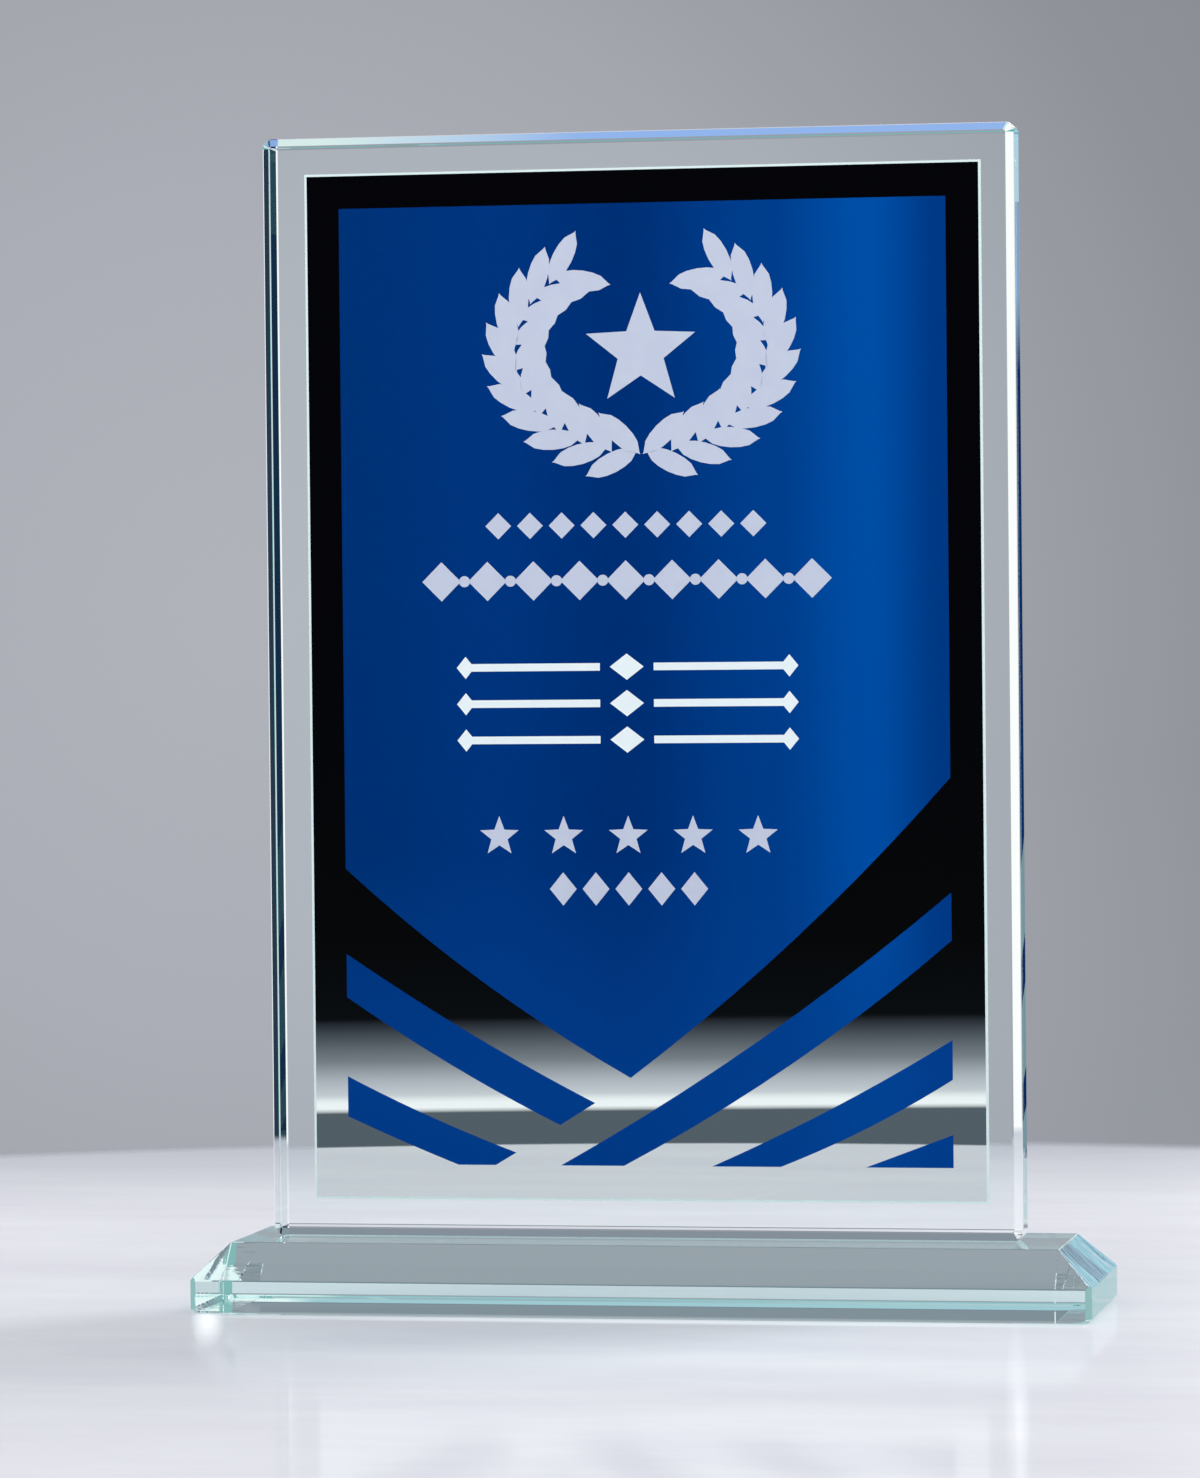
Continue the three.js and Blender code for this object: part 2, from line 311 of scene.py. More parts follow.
def float_glass(name, wave_height, ripple_height, joint_low, joint_high):
    material, tree = new_material(name)
    place = node(tree, "ShaderNodeTexCoord").outputs["Object"]
    rays = node(tree, "ShaderNodeLightPath").outputs
    surface = polished_surface(tree, place, wave_height, ripple_height)
    clear = clear_skin(tree, place, surface, joint_low, joint_high)
    # After three mirrorings, and on the upright corners, a painted glow takes the place of the
    # glass.
    often = node(tree, "ShaderNodeMath", {
        0: rays["Glossy Depth"], 1: THREE_TIMES_OR_MORE,
    }, operation="GREATER_THAN")
    held = node(tree, "ShaderNodeMath", {0: often, 1: in_corner(tree, place)}, operation="MAXIMUM")
    glow = node(tree, "ShaderNodeEmission", {"Color": held_light(tree, place), "Strength": 1.0})
    glass = node(tree, "ShaderNodeMixShader", {0: held, 1: clear, 2: glow})
    scattered = node(tree, "ShaderNodeMath", {
        0: rays["Diffuse Depth"], 1: ONCE_OR_MORE,
    }, operation="GREATER_THAN")
    soft_light = node(tree, "ShaderNodeMath", {
        0: rays["Is Shadow Ray"], 1: scattered,
    }, operation="MAXIMUM")
    let_through = node(tree, "ShaderNodeBsdfTransparent", {"Color": linear(LET_THROUGH)})
    skin = node(tree, "ShaderNodeMixShader", {0: soft_light, 1: glass, 2: let_through})
    strongest = max(ABSORPTION)
    passed = [1 - rate / strongest for rate in ABSORPTION]
    body = node(tree, "ShaderNodeVolumeAbsorption", {"Color": (*passed, 1), "Density": strongest})
    node(tree, "ShaderNodeOutputMaterial", {"Surface": skin, "Volume": body})
    return material


plate_glass = float_glass(
    "float_glass_plate", PLATE_WAVES, 0.0, bond_low - JOINT_REACH, bond_high + GLUED_WEDGE,
)
base_glass = float_glass(
    "float_glass_base", BASE_WAVES, BASE_RIPPLES, bond_low - JOINT_REACH, bond_high + JOINT_REACH,
)
print(plate_glass.name, "and", base_glass.name, "made")

# %% [markdown]
# ### Adhesive
# The adhesive is a clear one that cures with the same bending power as glass, so the joint all
# but disappears. Its film is too thin to show a body colour, so its surface is plainly
# transparent. Small bubbles, about 1 mm apart, leave faint pale specks in it.

# %% Adhesive
BUBBLES_APART = 1.1111 * MM
BUBBLE_FROM = 0.6
BUBBLE_TO = 0.8
BUBBLE_STRENGTH = 0.1


def cured_adhesive():
    material, tree = new_material("cured_adhesive")
    place = node(tree, "ShaderNodeTexCoord").outputs["Object"]
    bubbles = node(tree, "ShaderNodeTexNoise", {
        "Vector": place, "Scale": 1 / BUBBLES_APART, "Detail": 1.0,
    })
    cloudy = node(tree, "ShaderNodeMapRange", {
        "Value": bubbles, "From Min": BUBBLE_FROM, "From Max": BUBBLE_TO,
        "To Min": 0.0, "To Max": BUBBLE_STRENGTH,
    })
    clear = node(tree, "ShaderNodeBsdfTransparent", {"Color": linear("#FDFEFE")})
    speck = node(tree, "ShaderNodeBsdfDiffuse", {"Color": linear("#F2F6F6")})
    skin = node(tree, "ShaderNodeMixShader", {0: cloudy, 1: clear, 2: speck})
    node(tree, "ShaderNodeOutputMaterial", {"Surface": skin})
    return material


adhesive = cured_adhesive()
print(adhesive.name, "made")

# %% [markdown]
# ### Inks and backing
# The blue is a screen printed ink on the back of the glass, an even and opaque film. Wetted by the
# glass it has no gloss of its own, so its specular is off. The light from the front is somewhat
# stronger than plain, so the colours are written a little darker than they show. The blue is deep
# at the left and in the middle. Near the right side, a soft lighter band that runs down is a
# painted highlight in the ink's colour. Towards the foot the blue grows lighter. Places across are
# in mm from the plate's middle, and heights from its foot. The mesh of a printing screen leaves a
# grain too fine for the render, so it is drawn about 1.4 mm wide and faint.

# %% Blue ink
# Blue across the plate; the lighter tones towards the right are a painted highlight.
BLUE_AND_HIGHLIGHT_ACROSS = (
    (-61, "#002E70"), (-30, "#003178"), (-5, "#002B6E"),
    (25, "#003A86"), (45, "#004BA1"), (60, "#00357F"),
)
BLUE_FOOT = "#043F90"
FOOT_FADE_FROM = 75
FOOT_FADE_TO = 30
FOOT_FADE_STRENGTH = 0.75
BLUE_SPECK = "#00448F"
GRAIN_WIDTH = 1.4286 * MM
GRAIN_STRENGTH = 0.12
INK_ROUGHNESS = 0.5


def blue_ink_with_painted_highlight():
    material, tree = new_material("screen_printed_blue_ink_with_painted_highlight")
    place = node(tree, "ShaderNodeTexCoord").outputs["Object"]
    parts = node(tree, "ShaderNodeSeparateXYZ", {"Vector": place})
    left, right = BLUE_AND_HIGHLIGHT_ACROSS[0][0], BLUE_AND_HIGHLIGHT_ACROSS[-1][0]
    across = node(tree, "ShaderNodeMapRange", {
        "Value": parts.outputs["X"],
        "From Min": plate_middle_x + left * MM, "From Max": plate_middle_x + right * MM,
    })
    band = node(tree, "ShaderNodeValToRGB", {"Fac": across}, stops=spread(BLUE_AND_HIGHLIGHT_ACROSS))
    band.color_ramp.interpolation = "EASE"
    down = node(tree, "ShaderNodeMapRange", {
        "Value": parts.outputs["Z"],
        "From Min": plate_foot_z + FOOT_FADE_FROM * MM,
        "From Max": plate_foot_z + FOOT_FADE_TO * MM,
        "To Min": 0.0, "To Max": FOOT_FADE_STRENGTH,
    })
    foot = node(tree, "ShaderNodeMix", {
        "Factor": down, "A": band, "B": linear(BLUE_FOOT),
    }, data_type="RGBA")
    grain = node(tree, "ShaderNodeTexNoise", {
        "Vector": place, "Scale": 1 / GRAIN_WIDTH, "Detail": 2,
    })
    speck = node(tree, "ShaderNodeMapRange", {
        "Value": grain, "To Min": 0.0, "To Max": GRAIN_STRENGTH,
    })
    colour = node(tree, "ShaderNodeMix", {
        "Factor": speck, "A": foot, "B": linear(BLUE_SPECK),
    }, data_type="RGBA")
    paint = node(tree, "ShaderNodeBsdfPrincipled", {
        "Base Color": colour, "Roughness": INK_ROUGHNESS, "Specular IOR Level": 0.0,
    })
    node(tree, "ShaderNodeOutputMaterial", {"Surface": paint})
    return material


blue_ink = blue_ink_with_painted_highlight()
print(blue_ink.name, "made")

# %% [markdown]
# The ornaments are printed in a pale ink with a touch of lilac, and the rules in white. The
# backing is a matt paint that seals the mirror, and unlike the inks it has air in front of it at
# the back, so it keeps the usual faint gloss of paint. A coat is never quite even, so each
# drifts a little between two tones over about 5 mm.

# %% Pale ink, white ink and backing
COAT_DRIFT = 5.0 * MM
COAT_FROM = 0.35
COAT_TO = 0.7


def plain_coat(name, colour, second, roughness, specular):
    """A matt coat whose tone drifts between two colours."""
    material, tree = new_material(name)
    place = node(tree, "ShaderNodeTexCoord").outputs["Object"]
    cloud = node(tree, "ShaderNodeTexNoise", {
        "Vector": place, "Scale": 1 / COAT_DRIFT, "Detail": 3,
    })
    tone = node(tree, "ShaderNodeValToRGB", {"Fac": cloud}, stops=[
        (COAT_FROM, linear(second)), (COAT_TO, linear(colour)),
    ])
    paint = node(tree, "ShaderNodeBsdfPrincipled", {
        "Base Color": tone, "Roughness": roughness, "Specular IOR Level": specular,
    })
    node(tree, "ShaderNodeOutputMaterial", {"Surface": paint})
    return material


pale_ink = plain_coat(
    "screen_printed_pale_ink", "#CFC7DC", "#CBC3D9", roughness=INK_ROUGHNESS, specular=0.0,
)
white_ink = plain_coat(
    "screen_printed_white_ink", "#F6EEF4", "#F2EAF1", roughness=INK_ROUGHNESS, specular=0.0,
)
backing = plain_coat("matt_backing_paint", "#EBEDEF", "#E7E9EC", roughness=0.6, specular=0.5)
print(pale_ink.name, white_ink.name, backing.name, "made")

# %% [markdown]
# ### Silvering
# The mirror is a metal film on the back of the glass. It mirrors the dark room in front of the
# award as black, and the table's front edge as a pale foot. A breath of haze, in clouds about
# 17 mm wide, keeps it from being perfectly sharp. A flat grey could stand for it, but only a
# real mirror takes its picture from the room.

# %% Silvering
SILVER = "#F7F7F8"
HAZE_WIDTH = 16.667 * MM
HAZE_ROUGHNESS = 0.004


def silvering():
    material, tree = new_material("silvered_film")
    place = node(tree, "ShaderNodeTexCoord").outputs["Object"]
    haze = node(tree, "ShaderNodeTexNoise", {
        "Vector": place, "Scale": 1 / HAZE_WIDTH, "Detail": 4,
    })
    rough = node(tree, "ShaderNodeMapRange", {
        "Value": haze, "To Min": 0.0, "To Max": HAZE_ROUGHNESS,
    })
    metal = node(tree, "ShaderNodeBsdfPrincipled", {
        "Base Color": linear(SILVER), "Metallic": 1.0, "Roughness": rough,
    })
    node(tree, "ShaderNodeOutputMaterial", {"Surface": metal})
    return material


mirror = silvering()
print(mirror.name, "made")

# %% [markdown]
# ## The glass
# A glass shop cuts a sheet, grinds its edges on a wheel and polishes them. The helpers below
# work in the same order: a block at its real size, edges picked out by their place and cut to a
# slope, a plane that takes a corner off, and at the end a narrow facet along every edge. Each
# facet looks towards one place in the room, so the edges show as clean light or dark lines.

# %% Selecting
SAME_PLACE = 0.02 * MM


def deselect_all():
    if bpy.context.mode != "OBJECT":
        bpy.ops.object.mode_set(mode="OBJECT")
    bpy.ops.object.select_all(action="DESELECT")


def take_up(piece):
    """Nothing but this piece is selected, and it is the active one."""
    deselect_all()
    piece.select_set(True)
    bpy.context.view_layer.objects.active = piece


def pick(piece, kind, test):
    """Opens the piece in edit mode, with just the points or edges that pass the test selected."""
    take_up(piece)
    bpy.ops.object.mode_set(mode="EDIT")
    bpy.ops.mesh.select_mode(type=kind)
    bpy.ops.mesh.select_all(action="DESELECT")
    bpy.ops.object.mode_set(mode="OBJECT")
    for item in piece.data.vertices if kind == "VERT" else piece.data.edges:
        item.select = test(item)
    bpy.ops.object.mode_set(mode="EDIT")


def near(a, b):
    return abs(a - b) < SAME_PLACE


print("places closer than", SAME_PLACE / MM, "mm count as one")

# %% Cutting and grinding
def block(name, low, high):
    """A block between two corners, with its place and size in its mesh."""
    deselect_all()
    bpy.ops.mesh.primitive_cube_add(size=1, location=(Vector(low) + Vector(high)) / 2)
    piece = bpy.context.active_object
    piece.name = name
    piece.data.name = name
    piece.scale = Vector(high) - Vector(low)
    bpy.ops.object.transform_apply(location=True, rotation=True, scale=True)
    return piece


def bevel_edges(piece, test, width):
    """Bevels the edges whose two ends pass the test."""
    def passes(edge):
        return test(*(piece.data.vertices[i].co for i in edge.vertices))

    pick(piece, "EDGE", passes)
    bpy.ops.mesh.bevel(offset=width, segments=1, affect="EDGES", clamp_overlap=False)
    bpy.ops.object.mode_set(mode="OBJECT")


def draw_points(piece, test, stretch):
    """Moves the points that pass the test towards or away from the origin."""
    pick(piece, "VERT", test)
    bpy.ops.transform.resize(value=stretch, center_override=(0, 0, 0))
    bpy.ops.object.mode_set(mode="OBJECT")


def grind_flat(piece, point, normal):
    """Takes off what lies beyond a plane, and closes the cut."""
    take_up(piece)
    bpy.ops.object.mode_set(mode="EDIT")
    bpy.ops.mesh.select_all(action="SELECT")
    bpy.ops.mesh.bisect(plane_co=point, plane_no=normal, use_fill=True, clear_outer=True)
    bpy.ops.object.mode_set(mode="OBJECT")


def break_edges(piece, width, left_sharp=lambda place: False):
    """A narrow flat facet along every edge, but for those that end at a point left sharp."""
    take_up(piece)
    broken = piece.vertex_groups.new(name="broken")
    broken.add([v.index for v in piece.data.vertices if not left_sharp(v.co)], 1.0, "REPLACE")
    facets = piece.modifiers.new("broken_edges", "BEVEL")
    facets.width = width
    facets.segments = 1
    facets.limit_method = "VGROUP"
    facets.vertex_group = broken.name
    bpy.ops.object.modifier_apply(modifier=facets.name)
    piece.vertex_groups.remove(piece.vertex_groups["broken"])


def dress(piece, material, slot_name, *nodes):
    """The piece gets its finish, rides with the award and stands for the CAD nodes named."""
    piece.data.materials.clear()
    piece.data.materials.append(material)
    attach(piece, "root")
    if nodes:
        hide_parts(*nodes)
    print(piece.name, "has", len(piece.data.polygons), "faces")
    return piece


# %% [markdown]
# The plate is a block whose four corners are cut small. It is then chamfered all round on both
# faces. A cut sheet could also be extruded from an outline, but a block has its four corners and
# twelve edges at hand to pick.

# %% Upright plate
PLATE_CHAMFER = 1.7 * MM
PLATE_CORNER_CUT = 1.2 * MM
PLATE_FACET = 0.25 * MM

plate = block("clear_plate", plate_low, plate_high)
bevel_edges(plate, lambda a, b: near(a.x, b.x) and near(a.z, b.z), PLATE_CORNER_CUT)
bevel_edges(plate, lambda a, b: near(a.y, b.y), PLATE_CHAMFER)
break_edges(plate, PLATE_FACET)
dress(plate, plate_glass, "plate_glass", "upright_plate")

# %% [markdown]
# The base is a thicker block. Its top is bevelled all round and its four upright corners are
# ground off, both at 45 degrees and by the sizes named with the glass above. Its foot has a small
# arris, smaller in front. The underside is drawn in by a hair, so that the arris is a little
# off 45 degrees, which turns what it mirrors of the table. The rear edge under the bevel is left
# sharp: a facet there would show as a dark line across the front bevel.

# %% Base block
BASE_FOOT_ARRIS = 0.8 * MM
BASE_FRONT_ARRIS = 0.45 * MM
UNDERSIDE_DRAWN_IN = 0.12 * MM
BASE_FACET = 0.15 * MM
CORNER_STRIP = BASE_CORNER_CUT + BASE_FACET


def at_height(a, b, height):
    return near(a.z, height) and near(b.z, height)


def in_front(a, b):
    return near(a.y, base_low.y) and near(b.y, base_low.y)


def on_rear_edge(place):
    at_rear = place.y > base_high.y - CORNER_STRIP
    return at_rear and near(place.z, base_high.z - BASE_BEVEL)


base = block("bevelled_base", base_low, base_high)
bevel_edges(base, lambda a, b: at_height(a, b, base_high.z), BASE_BEVEL)
for side in (-1, 1):
    for end in (-1, 1):
        corner = Vector((end * base_high.x, side * base_high.y, base_low.z))
        outward = Vector((end, side, 0)).normalized()
        grind_flat(base, corner - outward * BASE_CORNER_CUT / math.sqrt(2), outward)
bevel_edges(
    base, lambda a, b: at_height(a, b, base_low.z) and not in_front(a, b), BASE_FOOT_ARRIS,
)
bevel_edges(base, lambda a, b: at_height(a, b, base_low.z) and in_front(a, b), BASE_FRONT_ARRIS)
drawn_in = [1 - UNDERSIDE_DRAWN_IN / edge for edge in (base_high.x, base_high.y)]
draw_points(base, lambda vertex: near(vertex.co.z, base_low.z), (*drawn_in, 1))
break_edges(base, BASE_FACET, on_rear_edge)
dress(base, base_glass, "base_glass", "base_block")

# %% [markdown]
# A thin film of adhesive holds the plate's foot on the base. It laps a hair into both pieces of
# glass, so that no sliver of air shows between them, and its corners are cut, as a squeezed film
# draws back from a corner.

# %% Bond
BOND_OVERLAP = 0.02 * MM
BOND_CORNER = 0.8 * MM

lap = Vector((0, 0, BOND_OVERLAP))
bond = block("glue_film", bond_low - lap, bond_high + lap)
bevel_edges(bond, lambda a, b: near(a.x, b.x) and near(a.y, b.y), BOND_CORNER)
dress(bond, adhesive, "adhesive", "bond_film")

# %% [markdown]
# ## The layers behind the plate
# The ink is printed on the back of the glass, the mirror lies on it, and the pale backing on that
# shows as a thin bright line round the mirror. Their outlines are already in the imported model, so
# each layer is a copy of its solid, merged and cleaned. Its front face is drawn a few hundredths
# of a millimetre into the glass, because the layers are stuck to it with no air between.

# %% Layers behind the plate
INK_FRONT = plate_back_y - 0.06 * MM
MIRROR_FRONT = plate_back_y - 0.03 * MM
BACKING_FRONT = plate_back_y - 0.015 * MM
MERGE_REACH = 0.001 * MM
FLAT_WITHIN = math.radians(0.5)


def layer_from(name, node_name, front_y):
    """A copy of a solid, with its front face moved to a new depth."""
    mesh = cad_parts[node_name].data.copy()
    mesh.name = name
    piece = bpy.data.objects.new(name, mesh)
    bpy.context.scene.collection.objects.link(piece)
    take_up(piece)
    front_was = min(vertex.co.y for vertex in mesh.vertices)
    bpy.ops.object.mode_set(mode="EDIT")
    bpy.ops.mesh.select_all(action="SELECT")
    bpy.ops.mesh.remove_doubles(threshold=MERGE_REACH)
    bpy.ops.mesh.dissolve_limited(angle_limit=FLAT_WITHIN)
    pick(piece, "VERT", lambda vertex: near(vertex.co.y, front_was))
    bpy.ops.transform.translate(value=(0, front_y - front_was, 0))
    bpy.ops.object.mode_set(mode="OBJECT")
    return piece


for node_name in sorted(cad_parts):
    if node_name.startswith("print_"):
        layer = layer_from(node_name.replace("print_", "ink_"), node_name, INK_FRONT)
        dress(layer, blue_ink, "blue_ink", node_name)

silver = layer_from("silvered_mirror", "mirror_film", MIRROR_FRONT)
dress(silver, mirror, "mirror", "mirror_film")

sheet = layer_from("pale_backing", "backing_sheet", BACKING_FRONT)
dress(sheet, backing, "backing", "backing_sheet")

# %% [markdown]
# ## The printed marks
# On the blue stand a laurel wreath round a five pointed star, and below it rows of diamonds,
# rules and stars: the ornaments that any award shop has ready. Each kind of mark is shaped once
# as a flat pattern. Copies of it are set out upright in front of the blue, joined, and given the
# thickness of a printed film that sinks into the ink. Places are in mm from the plate's middle
# and foot.

# %% Placing the marks
MARK_FRONT = plate_back_y - 0.09 * MM
MARK_DEPTH = 0.06 * MM


def flat_pattern(sides, turn=0.0):
    """An upright flat polygon of radius 1 about the origin, which faces the reader."""
    deselect_all()
    bpy.ops.mesh.primitive_circle_add(
        vertices=sides, radius=1.0, fill_type="NGON", rotation=(math.pi / 2, turn, 0),
    )
    bpy.ops.object.transform_apply(location=True, rotation=True, scale=True)
    return bpy.context.active_object


def stamp(pattern, centre, half_width, half_height, turn=0.0):
    """One copy of a pattern, with a mesh of its own, at its size and place."""
    copy = pattern.copy()
    copy.data = pattern.data.copy()
    bpy.context.scene.collection.objects.link(copy)
    copy.scale = (half_width * MM, 1.0, half_height * MM)
    copy.rotation_euler = (0, turn, 0)
    copy.location = (plate_middle_x + centre[0] * MM, MARK_FRONT, plate_foot_z + centre[1] * MM)
    return copy


def print_marks(name, stamps, material):
    """The copies become one printed piece with a thickness."""
    take_up(stamps[0])
    for copy in stamps:
        copy.select_set(True)
    bpy.ops.object.transform_apply(location=True, rotation=True, scale=True)
    if len(stamps) > 1:
        bpy.ops.object.join()
    piece = bpy.context.active_object
    piece.name = name
    piece.data.name = name
    bpy.ops.object.mode_set(mode="EDIT")
    bpy.ops.mesh.select_all(action="SELECT")
    bpy.ops.mesh.extrude_region_move(TRANSFORM_OT_translate={"value": (0, MARK_DEPTH, 0)})
    bpy.ops.mesh.select_all(action="SELECT")
    bpy.ops.mesh.normals_make_consistent(inside=False)
    bpy.ops.object.mode_set(mode="OBJECT")
    return dress(piece, material, "blue_ink")


# %% [markdown]
# Five patterns serve all the marks. A star is a ten sided polygon with every second point drawn
# in, and a leaf is a sixteen sided one whose tips are drawn narrow and a little longer.

# %% Patterns
SQUARE_TURN = math.radians(45)
STAR_WAIST = 0.42
LEAF_TIP_FROM = 0.9
LEAF_TIP_WIDTH = 0.25
LEAF_TIP_REACH = 1.12

diamond = flat_pattern(sides=4)
square = flat_pattern(sides=4, turn=SQUARE_TURN)
bead = flat_pattern(sides=20)
star = flat_pattern(sides=10)
draw_points(star, lambda vertex: vertex.index % 2 == 1, (STAR_WAIST, 1, STAR_WAIST))
leaf = flat_pattern(sides=16)
draw_points(
    leaf, lambda vertex: abs(vertex.co.z) > LEAF_TIP_FROM, (LEAF_TIP_WIDTH, 1, LEAF_TIP_REACH),
)
patterns = (diamond, square, bead, star, leaf)
print(len(patterns), "patterns made")

# %% [markdown]
# Each branch of the wreath is a row of leaf pairs along part of an oval. A leaf follows the
# branch and leans out from it, to its outer or inner side, as laurel leaves do.

# %% Laurel wreath and star
WREATH_MIDDLE = (0.0, 174.7)
WREATH_RADII = (25.0, 19.5)
LEAF_SIZE = (2.0, 5.25)
LEAF_PAIRS = 11
FIRST_LEAF = math.radians(-78)
LEAF_STEP = math.radians(13.5)
LEAF_LEAN = 0.62
LEAF_SHIFT = 3.0
WREATH_STAR = 11.5

wreath = []
for side in (-1, 1):
    for pair in range(LEAF_PAIRS):
        around = FIRST_LEAF + pair * LEAF_STEP
        wide, high = side * WREATH_RADII[0], WREATH_RADII[1]
        branch = Vector((wide * math.cos(around), high * math.sin(around)))
        along = math.atan2(-wide * math.sin(around), high * math.cos(around))
        for outer in (-1, 1):
            x, z = Vector(WREATH_MIDDLE) + branch + branch.normalized() * outer * LEAF_SHIFT
            wreath.append(stamp(leaf, (x, z), *LEAF_SIZE, along + side * outer * LEAF_LEAN))
print_marks("laurel_wreath", wreath, pale_ink)
print_marks("wreath_star", [stamp(star, WREATH_MIDDLE, WREATH_STAR, WREATH_STAR)], pale_ink)

# %% [markdown]
# Five rows lie below the wreath: small diamonds, a wide border of diamonds and beads, three
# rules with a diamond in their middle and at each end, stars, and small diamonds again. A rule's
# half is a stretched square. The square's corners lie 1 from its middle and its sides nearer, so
# its half length and half height are taken times the root of 2.

# %% Rows of diamonds, rules and stars
ROW_MIDDLE = -3.4
UPPER_HEIGHT = 140.5
BORDER_HEIGHT = 129.6
BORDER_SPACING = 9.3
BORDER_COUNT = 9
RULE_HEIGHTS = (112.5, 105.3, 98.1)
RULE_SHIFT = 18.6
RULE_HALF_LENGTH = 13.2 * math.sqrt(2)
RULE_HALF_HEIGHT = 0.75 * math.sqrt(2)
RULE_ENDS_APART = 65.0
STARS_HEIGHT = 79.0
LOWER_HEIGHT = 68.6


def row(pattern, height, count, spacing, half_width, half_height):
    """Copies side by side about the middle of the rows."""
    first = ROW_MIDDLE - spacing * (count - 1) / 2
    places = [(first + spacing * i, height) for i in range(count)]
    return [stamp(pattern, place, half_width, half_height) for place in places]


rules = []
for height in RULE_HEIGHTS:
    for side in (-1, 1):
        middle = (ROW_MIDDLE + side * RULE_SHIFT, height)
        rules.append(stamp(square, middle, RULE_HALF_LENGTH, RULE_HALF_HEIGHT))
    rules += row(diamond, height, 1, spacing=0.0, half_width=3.4, half_height=2.6)
    rules += row(diamond, height, 2, spacing=RULE_ENDS_APART, half_width=1.8, half_height=2.2)

upper = row(diamond, UPPER_HEIGHT, 9, spacing=6.4, half_width=2.6, half_height=2.6)
print_marks("upper_diamonds", upper, pale_ink)
border = row(
    diamond, BORDER_HEIGHT, BORDER_COUNT, BORDER_SPACING, half_width=3.9, half_height=3.9,
)
border += row(
    bead, BORDER_HEIGHT, BORDER_COUNT - 1, BORDER_SPACING, half_width=1.1, half_height=1.1,
)
print_marks("wide_border", border, pale_ink)
print_marks("long_rules", rules, white_ink)
stars = row(star, STARS_HEIGHT, 5, spacing=13.0, half_width=4.1, half_height=4.1)
print_marks("row_of_stars", stars, pale_ink)
lower = row(diamond, LOWER_HEIGHT, 5, spacing=6.6, half_width=2.7, half_height=3.3)
print_marks("small_diamonds", lower, pale_ink)

for pattern in patterns:
    bpy.data.objects.remove(pattern)

# %% [markdown]
# ## The table
# The award stands on a pale round table top, some 76 cm across, with a smooth lacquer. Its tone
# drifts in brushed streaks from left to right, about 4 cm wide and down to a fraction of a
# millimetre. Shade is painted into it as a grey that grows towards the far side, and sooner at the
# left, where less light falls. It has a thin sheen, in which the bright edges of the glass show as
# faint streaks. Its front edge is sharp, and its far edge is out of focus, so the tone fades there
# over some 2 cm. A camera with depth of field would blur that edge too, but it would blur the
# award's own edges as well.

# %% Table values
TABLE_MIDDLE = (-24.5 * MM, 5.9 * MM)
TABLE_RADIUS = 380 * MM
FADE_FRONT = 2.5 * MM
FADE_BACK = 11 * MM
FADE_REACH = 300 * MM
TABLE_TONES = ((0.3, "#D8D8E1"), (0.7, "#E5E6EB"))
BRUSH_STRETCH = 0.35
BRUSH_WIDTH = 41.667 * MM
BRUSH_ROUGHNESS = 0.65
# Painted shade: the grey that the table takes towards its far side.
FAR_PAINTED_SHADE = "#A0A3AE"
FAR_FROM = 140 * MM
FAR_TO = 490 * MM
FAR_SLANT = -0.12
SHEEN = "#F4F6FA"
SHEEN_STRENGTH = 0.17
SHEEN_ROUGHNESS = 0.09
print("table radius", TABLE_RADIUS / MM, "mm")

# %% [markdown]
# The glass also throws light on the table: a bright patch in front of the base's left corner, a
# streak from each side of the plate towards the reader, and a soft pale strip along the base.
# Traced as real light they would need very many samples, so they are laid as soft ovals of added
# light. Each is given by its middle in mm, its turn in degrees, its half length and half width in
# mm, and its brightness.

# %% Thrown light
THROWN = (
    (-83.2, -31, 14.5, 50, 3.4, 0.34),
    (90.2, -147.7, 7.2, 140, 2.2, 0.10),
    (-33, -170, 13.8, 125, 2.0, 0.03),
    (-1, -26, 90, 95, 5.5, 0.22),
)
THROWN_FULL = 0.15


def thrown_light(tree, place):
    """The light of all the ovals together, full near their middles and gone at their rims."""
    brightness = 0.0
    for x, y, degrees, half_length, half_width, strength in THROWN:
        laid = node(tree, "ShaderNodeMapping", {
            "Vector": place, "Location": (x * MM, y * MM, 0),
            "Rotation": (0, 0, math.radians(degrees)),
            "Scale": (half_width * MM, half_length * MM, 1),
        }, vector_type="TEXTURE")
        out = node(tree, "ShaderNodeVectorMath", {0: laid}, operation="LENGTH")
        oval = node(tree, "ShaderNodeMapRange", {
            "Value": out.outputs["Value"], "From Min": 1.0, "From Max": THROWN_FULL,
            "To Min": 0.0, "To Max": strength,
        })
        brightness = node(tree, "ShaderNodeMath", {0: brightness, 1: oval}, operation="ADD")
    return node(tree, "ShaderNodeEmission", {"Color": linear("#FFFFFF"), "Strength": brightness})


print(len(THROWN), "patches of thrown light")

# %% Table
FLOOR_SIZE = 6.0
FLOOR_DROP = 0.05 * MM


def table_coat(tree, place, parts):
    """The pale coat with its streaks, and painted shade that greys it towards the far side."""
    brushed = node(tree, "ShaderNodeMapping", {
        "Vector": place, "Scale": (BRUSH_STRETCH, 1.0, 1.0),
    })
    cloud = node(tree, "ShaderNodeTexNoise", {
        "Vector": brushed, "Scale": 1 / BRUSH_WIDTH, "Detail": 8, "Roughness": BRUSH_ROUGHNESS,
    })
    tone = node(tree, "ShaderNodeValToRGB", {"Fac": cloud}, stops=[
        (level, linear(colour)) for level, colour in TABLE_TONES
    ])
    slant = node(tree, "ShaderNodeMath", {
        0: parts["X"], 1: FAR_SLANT, 2: parts["Y"],
    }, operation="MULTIPLY_ADD")
    far = node(tree, "ShaderNodeMapRange", {
        "Value": slant, "From Min": FAR_FROM, "From Max": FAR_TO,
    }, interpolation_type="SMOOTHSTEP")
    shaded = node(tree, "ShaderNodeMix", {
        "Factor": far, "A": tone, "B": linear(FAR_PAINTED_SHADE),
    }, data_type="RGBA")
    return node(tree, "ShaderNodeBsdfDiffuse", {"Color": shaded})


